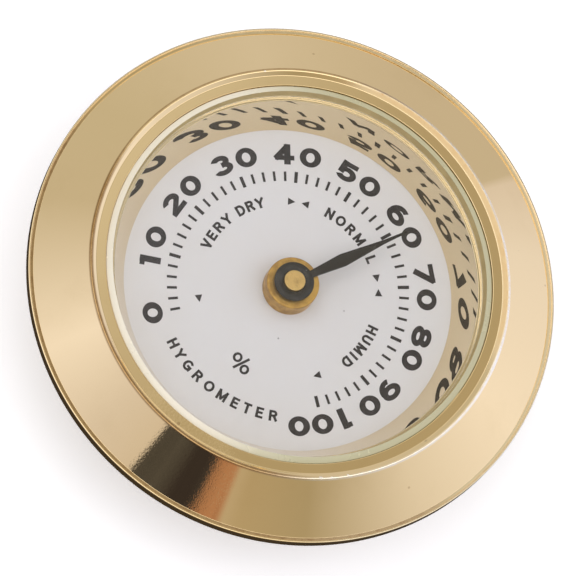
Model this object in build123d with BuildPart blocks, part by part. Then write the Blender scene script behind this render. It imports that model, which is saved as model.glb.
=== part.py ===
from build123d import *
import os
from math import cos, radians, tan

# Panel hygrometer, dial up. All sizes in millimetres, +Z out of the dial, +Y at twelve o'clock,
# origin in the middle of the flat back. The depth is built up from the back, and the widths are
# built inwards from the outside of the body.

# ---------------------------------------------------------------- driving sizes: outside
bezel_r = 22.5            # outside of the flange
body_r = 18.5             # outside of the drum that goes into the panel hole
body_depth = 9.8          # flat back to the underside of the flange
rim_height = 1.0          # straight edge of the flange
rim_lip = 0.32            # width of the thin lip round the cone
rim_groove = 0.12         # depth of the groove between lip and cone
lip_round = 0.13
edge_round = 0.05         # broken sharp edges
cup_wall = 0.6            # wall of the drum
cup_floor = 0.7
cup_corner_r = 1.0        # rounded edge of the flat back
collar_drop = 1.5         # collar under the flange, flush with the drum, down to the drum's edge

# ---------------------------------------------------------------- driving sizes: front
dial_drop = 1.4           # printed face of the dial below the underside of the flange
air_gap = 3.7             # dial to gasket
glass_thick = 1.2
glass_bevel_w = 0.5
glass_bevel_h = 0.22
glass_proud = 0.1         # face of the glass above the ledge round it
glass_land = 0.65         # width of the seat that carries the glass
gasket_thick = 0.15
ledge_w = 0.85            # flat ledge round the glass
crown_w = 0.42            # rounded step from the ledge up to the cone
crown_h = 0.3
crown_round = 0.2
foot_round = 0.12
shoulder_thick = 0.35     # web under the glass
shoulder_reach = 0.9      # how far the web reaches in from the well
spigot_wall = 1.2         # wall of the bezel's spigot inside the drum
spigot_tail = 1.0         # spigot below the snap ring's groove
snap_thick = 0.7
snap_bite = 0.55          # how deep the snap ring sits in its groove
snap_reach = 0.6          # how far the snap ring stands into the well
snap_gap = 4.0            # opening of the split ring

# ---------------------------------------------------------------- driving sizes: dial and reflector
dial_thick = 0.4
reflector_sheet = 0.35
reflector_flare = 23.8    # degrees from upright
reflector_step = 0.25     # top edge of the mirror inside the web's edge
reflector_foot = 1.1

# ---------------------------------------------------------------- driving sizes: centre bush and pointer
hub_r = 2.25
hub_height = 1.8          # bush above the dial
shank_r = 1.5
nut_across = 5.0          # across the flats of the nut
nut_height = 0.9
spindle_r = 0.9
pivot_r = 0.45
pivot_length = 1.1
washer_thick = 0.06
washer_w = 0.5
collar_r = 1.7
collar_height = 0.24
collar_spigot_w = 0.32    # wall of the collar's part that goes through the blade
blade_thick = 0.14
blade_length = 11.0       # spindle axis to the tip
blade_neck_w = 0.5
blade_wide_w = 1.15
blade_wide_at = 4.9       # distance of the widest place from the axis
blade_tip_w = 0.14
pin_stands = 0.12         # spindle end above the collar
scale_start = 225.0       # direction of 0 % on the dial, in degrees anticlockwise from +X
scale_sweep = 270.0
reading = 61.6            # per cent shown at rest

# ---------------------------------------------------------------- driving sizes: movement
plate_r = 10.0
top_plate_thick = 0.6
rear_plate_thick = 0.8
rear_room = 1.85          # back of the drum to the rear plate
pillar_circle_r = 8.5
pillar_r = 0.9
pillar_count = 3
tenon_r = 0.55
screw_r = 0.4
screw_length = 2.0
screw_head_r = 0.9
screw_head_h = 0.6
screw_slot_w = 0.3
window_hole_r = 1.9
window_circle_r = 5.6
collet_wall = 0.7
collet_lip = 0.12         # collet above and below the coil
coil_height = 1.8
coil_turns = 4
coil_reach = 6.2          # spindle axis to the coil's outer end
strip_thick = 0.12
film_thick = 0.14
lever_thick = 0.4
lever_hub_r = 2.1
lever_eye_r = 1.1
stud_r = 0.75
stud_tenon_r = 0.4
arbor_r = 1.5
arbor_top_r = 1.1
adjuster_head_r = 2.6
adjuster_recess = 0.3     # head below the flat back
friction_thick = 0.25
friction_w = 0.7
slot_w = 0.8
slot_depth = 0.5

# ---------------------------------------------------------------- driving sizes: openings in the back
access_gap = 0.4          # round the adjuster's head
vent_count = 8
vent_circle_r = 12.6
vent_length = 5.0
vent_w = 1.3

# ---------------------------------------------------------------- clearances
press_gap = 0.02          # pieces pressed, staked or bonded together
seat_gap = 0.05           # pieces dropped into a seat
run_gap = 0.04            # radial play of a turning piece
end_play = 0.08           # play along the spindle
coil_clear = 0.25         # coil above the lever

# ---------------------------------------------------------------- heights, from the back up
flange_z = body_depth
cup_top_z = flange_z - collar_drop
lip_z = flange_z + rim_height
dial_z = flange_z - dial_drop
dial_back_z = dial_z - dial_thick
shoulder_z = dial_z + air_gap
web_z = shoulder_z - shoulder_thick
glass_z = shoulder_z + gasket_thick
glass_top_z = glass_z + glass_thick
ledge_z = glass_top_z - glass_proud
crown_z = ledge_z + crown_h
snap_z = dial_back_z - snap_thick
spigot_z = snap_z - spigot_tail

plate_under_z = dial_back_z - top_plate_thick
nut_z = plate_under_z - nut_height
collet_top_z = nut_z - end_play
coil_top_z = collet_top_z - collet_lip
coil_z = coil_top_z - coil_height
collet_z = coil_z - collet_lip
rear_top_z = rear_room + rear_plate_thick
lever_top_z = coil_z - coil_clear
lever_z = lever_top_z - lever_thick
adjuster_top_z = lever_top_z
friction_z = rear_room - friction_thick

hub_top_z = dial_z + hub_height
washer_z = hub_top_z + end_play
blade_z = washer_z + washer_thick
blade_top_z = blade_z + blade_thick
collar_top_z = blade_top_z + collar_height
pin_top_z = collar_top_z + pin_stands

# ---------------------------------------------------------------- widths, from the outside in
cup_in_r = body_r - cup_wall
spigot_r = cup_in_r - press_gap
well_r = spigot_r - spigot_wall
groove_r = well_r + snap_bite
window_r = well_r - shoulder_reach
glass_bore_r = window_r + glass_land + seat_gap
glass_r = glass_bore_r - seat_gap
ledge_r = glass_bore_r + ledge_w
crown_r = ledge_r + crown_w
disc_r = well_r - seat_gap
mirror_top_r = window_r - reflector_step
mirror_foot_r = mirror_top_r - (web_z - dial_z) * tan(radians(reflector_flare))
bush_bore_r = spindle_r + run_gap
collet_r = spindle_r + press_gap + collet_wall
collar_bore_r = spindle_r + press_gap
collar_spigot_r = collar_bore_r + collar_spigot_w
blade_bore_r = collar_spigot_r + press_gap
access_r = adjuster_head_r + access_gap
pointer_angle = scale_start - scale_sweep * reading / 100

os.makedirs("parts", exist_ok=True)


def ring_face(outer, inner):
    """Draw a flat ring in the sketch that is open."""
    Circle(outer)
    Circle(inner, mode=Mode.SUBTRACT)


def spiral_face(first_r, near, far, turns, pitch):
    """Draw a flat spiral band: half circles about two centres half a pitch apart.

    The band lies between near and far outside the spiral line, which starts on +X at first_r.
    """
    half = pitch / 2
    steps = range(2 * turns)
    with BuildLine() as band:
        for step in steps:
            centre = (half * (step % 2), 0)
            CenterArc(centre, first_r + half * step + near, 180 * (step % 2), 180)
        for step in steps:
            centre = (half * (step % 2), 0)
            CenterArc(centre, first_r + half * step + far, 180 * (step % 2), 180)
        last = first_r + pitch * turns
        Line((first_r + near, 0), (first_r + far, 0))
        Line((last + near, 0), (last + far, 0))
    make_face(band.edges())


# ---------------------------------------------------------------- bezel
# One turned ring: flange with its cone, crown, ledge and glass seat in front, and behind it a collar
# and a spigot for the drum. The rounds run from the flange's lower edge up to the glass's bore.
bezel_rounds = [edge_round, lip_round, lip_round, 0, crown_round, foot_round, edge_round]

with BuildPart() as bezel:
    with BuildSketch(Plane.XZ):
        with BuildLine():
            FilletPolyline(
                (bezel_r, flange_z),
                (bezel_r, lip_z),
                (bezel_r - rim_lip, lip_z),
                (bezel_r - rim_lip - rim_groove, lip_z - rim_groove),
                (crown_r, crown_z),
                (ledge_r, ledge_z),
                (glass_bore_r, ledge_z),
                (glass_bore_r, shoulder_z),
                (window_r, shoulder_z),
                (window_r, web_z),
                (well_r, web_z),
                (well_r, dial_back_z),
                (groove_r, dial_back_z),
                (groove_r, snap_z),
                (well_r, snap_z),
                (well_r, spigot_z),
                (spigot_r, spigot_z),
                (spigot_r, cup_top_z),
                (body_r, cup_top_z),
                (body_r, flange_z),
                radius=bezel_rounds + [0] * 13,
                close=True,
            )
        make_face()
    revolve(axis=Axis.Z)

# ---------------------------------------------------------------- glass and its gasket
with BuildPart() as glass:
    with BuildSketch(Plane.XY.offset(glass_z)):
        Circle(glass_r)
    extrude(amount=glass_thick)
    chamfer(glass.edges().sort_by(Axis.Z)[-1], length=glass_bevel_h, length2=glass_bevel_w,
            reference=glass.faces().filter_by(GeomType.CYLINDER)[0])

with BuildPart() as glass_gasket:
    with BuildSketch(Plane.XY.offset(shoulder_z)):
        ring_face(glass_r, window_r + press_gap)
    extrude(amount=gasket_thick)

# ---------------------------------------------------------------- reflector ring
# Pressed sheet: a foot on the dial, a flared mirror wall, and a flange under the bezel's web.
with BuildPart() as reflector_ring:
    with BuildSketch(Plane.XZ):
        with BuildLine():
            lean = reflector_sheet / cos(radians(reflector_flare))
            slope = tan(radians(reflector_flare))
            under_flange = web_z - reflector_sheet
            over_foot = dial_z + reflector_sheet
            Polyline(
                (mirror_foot_r, dial_z),
                (mirror_top_r, web_z),
                (disc_r, web_z),
                (disc_r, under_flange),
                (mirror_top_r + lean - reflector_sheet * slope, under_flange),
                (mirror_foot_r + lean + reflector_sheet * slope, over_foot),
                (mirror_foot_r + lean + reflector_foot, over_foot),
                (mirror_foot_r + lean + reflector_foot, dial_z),
                close=True,
            )
        make_face()
    revolve(axis=Axis.Z)

# ---------------------------------------------------------------- dial plate
with BuildPart() as dial_plate:
    with BuildSketch(Plane.XY.offset(dial_back_z)):
        ring_face(disc_r, shank_r + seat_gap)
    extrude(amount=dial_thick)

# ---------------------------------------------------------------- snap ring
with BuildPart() as snap_ring:
    with BuildSketch(Plane.XY.offset(snap_z)):
        ring_face(groove_r - seat_gap, well_r - snap_reach)
        with Locations((0, -well_r)):
            Rectangle(snap_gap, 4 * (snap_bite + snap_reach), mode=Mode.SUBTRACT)
    extrude(amount=snap_thick)

# ---------------------------------------------------------------- case cup
# Drum with a flat vented back and a round hole over the adjuster.
with BuildPart() as case_cup:
    with BuildSketch(Plane.XZ):
        with BuildLine():
            FilletPolyline(
                (0, 0),
                (body_r, 0),
                (body_r, cup_top_z),
                (cup_in_r, cup_top_z),
                (cup_in_r, cup_floor),
                (0, cup_floor),
                radius=[0, cup_corner_r, 0, 0, max(cup_corner_r - cup_wall, cup_wall / 2), 0],
                close=True,
            )
        make_face()
    revolve(axis=Axis.Z)
    with BuildSketch(Plane.XY):
        Circle(access_r)
        with PolarLocations(vent_circle_r, vent_count, start_angle=180 / vent_count):
            SlotOverall(vent_length, vent_w, rotation=90)
    extrude(amount=cup_floor, mode=Mode.SUBTRACT)

# ---------------------------------------------------------------- centre bush and its nut
with BuildPart() as hub_bush:
    with BuildSketch(Plane.XY.offset(dial_z)):
        Circle(hub_r)
    extrude(amount=hub_height)
    with BuildSketch(Plane.XY.offset(nut_z)):
        Circle(shank_r)
    extrude(amount=dial_z - nut_z)
    chamfer(hub_bush.edges().sort_by(Axis.Z)[-1], length=0.1)
    with BuildSketch(Plane.XY.offset(nut_z)):
        Circle(bush_bore_r)
    extrude(amount=hub_top_z - nut_z, mode=Mode.SUBTRACT)

with BuildPart() as hub_nut:
    with BuildSketch(Plane.XY.offset(nut_z)):
        RegularPolygon(nut_across / 2, 6, major_radius=False)
        Circle(shank_r + press_gap, mode=Mode.SUBTRACT)
    extrude(amount=nut_height)

# ---------------------------------------------------------------- movement plates
with BuildPart() as top_plate:
    with BuildSketch(Plane.XY.offset(plate_under_z)):
        ring_face(plate_r, shank_r + seat_gap)
        with PolarLocations(pillar_circle_r, pillar_count, start_angle=60):
            Circle(tenon_r + press_gap, mode=Mode.SUBTRACT)
        with PolarLocations(window_circle_r, pillar_count, start_angle=0):
            Circle(window_hole_r, mode=Mode.SUBTRACT)
    extrude(amount=top_plate_thick)

with BuildPart() as rear_plate:
    with BuildSketch(Plane.XY.offset(rear_room)):
        ring_face(plate_r, arbor_r + run_gap)
        with PolarLocations(pillar_circle_r, pillar_count, start_angle=60):
            Circle(screw_r + seat_gap, mode=Mode.SUBTRACT)
        with PolarLocations(window_circle_r, pillar_count, start_angle=0):
            Circle(window_hole_r, mode=Mode.SUBTRACT)
    extrude(amount=rear_plate_thick)

# ---------------------------------------------------------------- pillars and their screws
with BuildPart() as pillars:
    with BuildSketch(Plane.XY.offset(rear_top_z)):
        with PolarLocations(pillar_circle_r, pillar_count, start_angle=60):
            Circle(pillar_r)
    extrude(amount=plate_under_z - rear_top_z)
    with BuildSketch(Plane.XY.offset(plate_under_z)):
        with PolarLocations(pillar_circle_r, pillar_count, start_angle=60):
            Circle(tenon_r)
    extrude(amount=top_plate_thick)
    with BuildSketch(Plane.XY.offset(rear_top_z)):
        with PolarLocations(pillar_circle_r, pillar_count, start_angle=60):
            Circle(screw_r + press_gap)
    extrude(amount=screw_length - rear_plate_thick + seat_gap, mode=Mode.SUBTRACT)

with BuildPart() as pillar_screws:
    with BuildSketch(Plane.XY.offset(rear_room - screw_head_h)):
        with PolarLocations(pillar_circle_r, pillar_count, start_angle=60):
            Circle(screw_head_r)
    extrude(amount=screw_head_h)
    with BuildSketch(Plane.XY.offset(rear_room)):
        with PolarLocations(pillar_circle_r, pillar_count, start_angle=60):
            Circle(screw_r)
    extrude(amount=screw_length)
    with BuildSketch(Plane.XY.offset(rear_room - screw_head_h)):
        with PolarLocations(pillar_circle_r, pillar_count, start_angle=60):
            Rectangle(2 * screw_head_r, screw_slot_w, rotation=35)
    extrude(amount=screw_head_h / 2, mode=Mode.SUBTRACT)

# ---------------------------------------------------------------- adjuster, its washer and lever
with BuildPart() as adjuster:
    with BuildSketch(Plane.XY.offset(adjuster_recess)):
        Circle(adjuster_head_r)
    extrude(amount=friction_z - adjuster_recess)
    with BuildSketch(Plane.XY.offset(friction_z)):
        Circle(arbor_r)
    extrude(amount=lever_z - friction_z)
    with BuildSketch(Plane.XY.offset(lever_z)):
        Circle(arbor_top_r)
    extrude(amount=adjuster_top_z - lever_z)
    with BuildSketch(Plane.XY.offset(adjuster_recess)):
        Rectangle(3 * adjuster_head_r, slot_w)
    extrude(amount=slot_depth, mode=Mode.SUBTRACT)
    with BuildSketch(Plane.XY.offset(adjuster_top_z - pivot_length)):
        Circle(pivot_r + run_gap)
    extrude(amount=pivot_length, mode=Mode.SUBTRACT)

with BuildPart() as friction_washer:
    with BuildSketch(Plane.XY.offset(friction_z)):
        ring_face(arbor_r + run_gap + friction_w, arbor_r + run_gap)
    extrude(amount=friction_thick)

coil_pitch = (coil_reach - collet_r - press_gap) / coil_turns
coil_end_x = coil_reach + (strip_thick + film_thick) / 2
stud_slot_w = strip_thick + film_thick + 2 * seat_gap

with BuildPart() as regulator_lever:
    with BuildSketch(Plane.XY.offset(lever_z)):
        Circle(lever_hub_r)
        with Locations((coil_end_x, 0)):
            Circle(lever_eye_r)
        make_hull()
        Circle(arbor_top_r + press_gap, mode=Mode.SUBTRACT)
        with Locations((coil_end_x, 0)):
            Circle(stud_tenon_r + press_gap, mode=Mode.SUBTRACT)
    extrude(amount=lever_thick)

with BuildPart() as coil_stud:
    with BuildSketch(Plane.XY.offset(lever_top_z)):
        with Locations((coil_end_x, 0)):
            Circle(stud_r)
    extrude(amount=coil_top_z - lever_top_z)
    with BuildSketch(Plane.XY.offset(lever_z)):
        with Locations((coil_end_x, 0)):
            Circle(stud_tenon_r)
    extrude(amount=lever_thick)
    with BuildSketch(Plane.XY.offset(coil_z)):
        with Locations((coil_end_x, 0)):
            Rectangle(stud_slot_w, 3 * stud_r)
    extrude(amount=coil_height, mode=Mode.SUBTRACT)

# ---------------------------------------------------------------- the coil: metal strip inside, film outside
coil_first_r = collet_r + press_gap

with BuildPart() as coil_metal_strip:
    with BuildSketch(Plane.XY.offset(coil_z)):
        spiral_face(coil_first_r, 0, strip_thick, coil_turns, coil_pitch)
    extrude(amount=coil_height)

with BuildPart() as coil_moisture_film:
    with BuildSketch(Plane.XY.offset(coil_z)):
        spiral_face(coil_first_r, strip_thick, strip_thick + film_thick, coil_turns, coil_pitch)
    extrude(amount=coil_height)

# ---------------------------------------------------------------- spindle and what is pressed on it
with BuildPart() as spindle:
    with BuildSketch(Plane.XY.offset(collet_z)):
        Circle(spindle_r)
    extrude(amount=pin_top_z - collet_z)
    fillet(spindle.edges().sort_by(Axis.Z)[-1], radius=pin_stands / 2)
    pivot_z = adjuster_top_z - pivot_length + end_play
    with BuildSketch(Plane.XY.offset(pivot_z)):
        Circle(pivot_r)
    extrude(amount=collet_z - pivot_z)

with BuildPart() as coil_collet:
    with BuildSketch(Plane.XY.offset(collet_z)):
        ring_face(collet_r, spindle_r + press_gap)
    extrude(amount=collet_top_z - collet_z)

with BuildPart() as thrust_washer:
    with BuildSketch(Plane.XY.offset(washer_z)):
        ring_face(collar_bore_r + washer_w, collar_bore_r)
    extrude(amount=washer_thick)

with BuildPart() as pointer_collar:
    with BuildSketch(Plane.XY.offset(blade_top_z)):
        Circle(collar_r)
    extrude(amount=collar_height)
    fillet(pointer_collar.edges().sort_by(Axis.Z)[-1], radius=collar_height / 2)
    with BuildSketch(Plane.XY.offset(blade_z)):
        Circle(collar_spigot_r)
    extrude(amount=blade_thick)
    with BuildSketch(Plane.XY.offset(blade_z)):
        Circle(collar_bore_r)
    extrude(amount=collar_top_z - blade_z, mode=Mode.SUBTRACT)

with BuildPart() as pointer_blade:
    with BuildSketch(Plane.XY.offset(blade_z).rotated((0, 0, pointer_angle))):
        with BuildLine():
            Polyline(
                (blade_bore_r, blade_neck_w / 2),
                (blade_wide_at, blade_wide_w / 2),
                (blade_length, blade_tip_w / 2),
                (blade_length, -blade_tip_w / 2),
                (blade_wide_at, -blade_wide_w / 2),
                (blade_bore_r, -blade_neck_w / 2),
                close=True,
            )
        make_face()
        Circle(collar_r - seat_gap)
        Circle(blade_bore_r, mode=Mode.SUBTRACT)
    extrude(amount=blade_thick)

# ---------------------------------------------------------------- write one file for each piece
pieces = {
    "bezel": bezel,
    "glass": glass,
    "glass_gasket": glass_gasket,
    "reflector_ring": reflector_ring,
    "dial_plate": dial_plate,
    "snap_ring": snap_ring,
    "case_cup": case_cup,
    "hub_bush": hub_bush,
    "hub_nut": hub_nut,
    "top_plate": top_plate,
    "rear_plate": rear_plate,
    "pillars": pillars,
    "pillar_screws": pillar_screws,
    "adjuster": adjuster,
    "friction_washer": friction_washer,
    "regulator_lever": regulator_lever,
    "coil_stud": coil_stud,
    "coil_metal_strip": coil_metal_strip,
    "coil_moisture_film": coil_moisture_film,
    "spindle": spindle,
    "coil_collet": coil_collet,
    "thrust_washer": thrust_washer,
    "pointer_collar": pointer_collar,
    "pointer_blade": pointer_blade,
}
for name, piece in pieces.items():
    piece.part.label = name
    export_step(piece.part, f"parts/{name}.step")
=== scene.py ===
"""Panel hygrometer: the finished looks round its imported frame.

Every length in the classes below is in millimetres and every angle in degrees, measured anticlockwise
from the dial's right-hand side, unless a docstring says otherwise. Meshes are handed to Blender in
metres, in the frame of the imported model: Z out of the dial, Y towards twelve o'clock.
"""

import logging
from collections.abc import Mapping, Sequence
from dataclasses import asdict, dataclass
from enum import Enum
from math import cos, pi, radians, sin, tan
from typing import Any

import bmesh
import bpy
import numpy as np
from mathutils import Matrix, Vector


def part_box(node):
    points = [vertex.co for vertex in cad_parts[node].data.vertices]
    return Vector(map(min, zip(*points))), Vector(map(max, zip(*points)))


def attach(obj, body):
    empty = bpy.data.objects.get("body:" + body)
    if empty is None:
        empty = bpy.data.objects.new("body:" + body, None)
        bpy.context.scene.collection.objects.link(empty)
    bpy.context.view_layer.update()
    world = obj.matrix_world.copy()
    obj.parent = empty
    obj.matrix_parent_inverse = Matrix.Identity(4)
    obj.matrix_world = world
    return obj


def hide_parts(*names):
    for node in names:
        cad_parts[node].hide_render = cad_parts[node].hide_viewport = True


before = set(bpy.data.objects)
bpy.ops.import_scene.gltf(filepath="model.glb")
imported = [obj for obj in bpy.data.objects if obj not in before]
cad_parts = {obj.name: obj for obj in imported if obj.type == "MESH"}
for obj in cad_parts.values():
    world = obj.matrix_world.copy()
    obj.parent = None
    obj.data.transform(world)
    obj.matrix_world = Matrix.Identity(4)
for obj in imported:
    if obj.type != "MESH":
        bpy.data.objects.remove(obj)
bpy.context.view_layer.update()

log = logging.getLogger("hygrometer")

MM = 0.001
PER_MM = 1000.0
CREASE = 32.0  # faces that meet more sharply than this stay sharp in the shading
WELD = 1e-8  # metres between points that become one
Colour = tuple[float, float, float]
Socket = bpy.types.NodeSocket


class Body(Enum):
    """The moving groups of the frame that new pieces ride on."""

    CASE = "case"
    POINTER = "pointer"


class Slot(Enum):
    """The record's material slots that new pieces take their finish from."""

    GILT = "gilt_polished"
    MIRROR = "gilt_mirror"
    GLASS = "window_glass"
    BRASS = "turned_brass"
    POINTER = "pointer_black"


class Facing(Enum):
    """Which way the tops of a line of lettering point on the dial."""

    OUTWARDS = 1.0
    INWARDS = -1.0


# ---------------------------------------------------------------------------------------- meshes


@dataclass(frozen=True)
class Shell:
    """One closed surface: its points in millimetres and its four-sided faces."""

    points: np.ndarray
    faces: np.ndarray


def lattice(rows: int, columns: int, round_rows: bool, round_columns: bool) -> np.ndarray:
    """Number the four-sided faces of a grid of points.

    The face at (u, v) joins (u, v), (u+1, v), (u+1, v+1) and (u, v+1), where a closed direction
    counts round to its start again.

    Args:
        rows: points along u.
        columns: points along v.
        round_rows: whether u closes on itself.
        round_columns: whether v closes on itself.

    Returns:
        An array of faces, four point numbers each.
    """
    u = np.arange(rows if round_rows else rows - 1)[:, None]
    v = np.arange(columns if round_columns else columns - 1)[None, :]
    u_next = (u + 1) % rows
    v_next = (v + 1) % columns
    faces = [u * columns + v, u_next * columns + v, u_next * columns + v_next, u * columns + v_next]
    return np.stack(np.broadcast_arrays(*faces), axis=-1).reshape(-1, 4)


def turned(outline: np.ndarray, around: int) -> Shell:
    """Turn a closed outline round Z.

    The point at (t, k) is (r_k cos t, r_k sin t, z_k). The outline runs anticlockwise in the
    plane of radius and height, so that the faces point outwards.

    Args:
        outline: the outline's points, radius and height in each row.
        around: points round one turn.

    Returns:
        The turned surface.
    """
    t = np.linspace(0.0, 2 * pi, around, endpoint=False)[:, None]
    r = outline[None, :, 0]
    z = np.broadcast_to(outline[None, :, 1], (around, len(outline)))
    points = np.stack([r * np.cos(t), r * np.sin(t), z], axis=-1).reshape(-1, 3)
    return Shell(points, lattice(around, len(outline), True, True))


def rounded(corners: Sequence[tuple[float, float, float]], steps: int = 7, hold: float = 0.03) -> np.ndarray:
    """Round the corners of a closed outline with tangent arcs.

    A corner of radius R between two runs that meet at angle a is replaced by the arc whose ends
    lie R / tan(a / 2) back along each run. A point is kept close to each end of an arc, so that
    its smooth shading doesn't bend the flat beside it. A corner of radius 0 stays one point.

    Args:
        corners: radius, height and rounding of each corner, in order.
        steps: points on each arc.
        hold: distance from an arc to the points that hold the flats beside it.

    Returns:
        The outline's points, radius and height in each row.
    """
    spots = np.array([corner[:2] for corner in corners], dtype=float)
    runs = []
    for index, (_, _, size) in enumerate(corners):
        here = spots[index]
        if size == 0:
            runs.append(here[None, :])
            continue
        back, ahead = spots[index - 1] - here, spots[(index + 1) % len(spots)] - here
        back_length, ahead_length = np.linalg.norm(back), np.linalg.norm(ahead)
        back, ahead = back / back_length, ahead / ahead_length
        half = np.arccos(np.clip(back @ ahead, -1.0, 1.0)) / 2
        reach = size / np.tan(half)
        middle = here + (back + ahead) / np.linalg.norm(back + ahead) * size / np.sin(half)
        first, last = here + back * reach - middle, here + ahead * reach - middle
        share = np.linspace(0.0, 1.0, steps)[:, None]
        sweep = pi - 2 * half
        arc = middle + (np.sin((1 - share) * sweep) * first + np.sin(share * sweep) * last) / np.sin(sweep)
        before = min(hold, (back_length - reach) / 3)
        after = min(hold, (ahead_length - reach) / 3)
        runs += [arc[:1] + back * before, arc, arc[-1:] + ahead * after]
    return np.concatenate(runs)


def swept_band(left: np.ndarray, right: np.ndarray, low: float, high: float, closed: bool) -> Shell:
    """Carry an upright rectangle along a band between two edges.

    At each station the section has the corners (left, high), (left, low), (right, low) and
    (right, high). An open band gets a cap at each end.

    Args:
        left: the band's left edge in the plane, one point for each station.
        right: its right edge.
        low: height of its underside.
        high: height of its upper side.
        closed: whether the band joins its own start.

    Returns:
        The closed surface of the band.
    """
    count = len(left)
    top, bottom = np.full((count, 1), high), np.full((count, 1), low)
    corners = ((left, top), (left, bottom), (right, bottom), (right, top))
    points = np.stack([np.hstack(corner) for corner in corners], axis=1).reshape(-1, 3)
    faces = lattice(count, 4, closed, True)
    if not closed:
        end = 4 * (count - 1)
        faces = np.vstack([faces, [[3, 2, 1, 0]], [[end, end + 1, end + 2, end + 3]]])
    return Shell(points, faces)


def piece(
    name: str, shells: Sequence[Shell], body: Body, replaced: str | None = None
) -> bpy.types.Object:
    """Put surfaces into one Blender object that rides on a body.

    Args:
        name: the piece's name.
        shells: its closed surfaces, in millimetres.
        body: the body that it rides on.
        replaced: the node of the frame that it takes the place of, if any.

    Returns:
        The new object, at the origin, with its place in its mesh.
    """
    starts = np.cumsum([0] + [len(shell.points) for shell in shells[:-1]])
    points = np.vstack([shell.points for shell in shells]) * MM
    faces = np.vstack([shell.faces + start for shell, start in zip(shells, starts)])
    mesh = bpy.data.meshes.new(name)
    mesh.from_pydata(points, [], faces)
    loom = bmesh.new()
    loom.from_mesh(mesh)
    bmesh.ops.remove_doubles(loom, verts=loom.verts, dist=WELD)
    bmesh.ops.recalc_face_normals(loom, faces=loom.faces)
    loom.to_mesh(mesh)
    loom.free()
    mesh.shade_smooth()
    mesh.set_sharp_from_angle(angle=radians(CREASE))
    mesh.validate()
    made = bpy.data.objects.new(name, mesh)
    bpy.context.scene.collection.objects.link(made)
    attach(made, body.value)
    if replaced is not None:
        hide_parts(replaced)
    return made


def reach_of(node: str) -> tuple[float, float, float]:
    """Give a round node's outer radius, lowest height and highest height, in millimetres."""
    low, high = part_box(node)
    return (high[0] - low[0]) / 2 / MM, low[2] / MM, high[2] / MM


# ---------------------------------------------------------------------------------- shader bench


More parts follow.
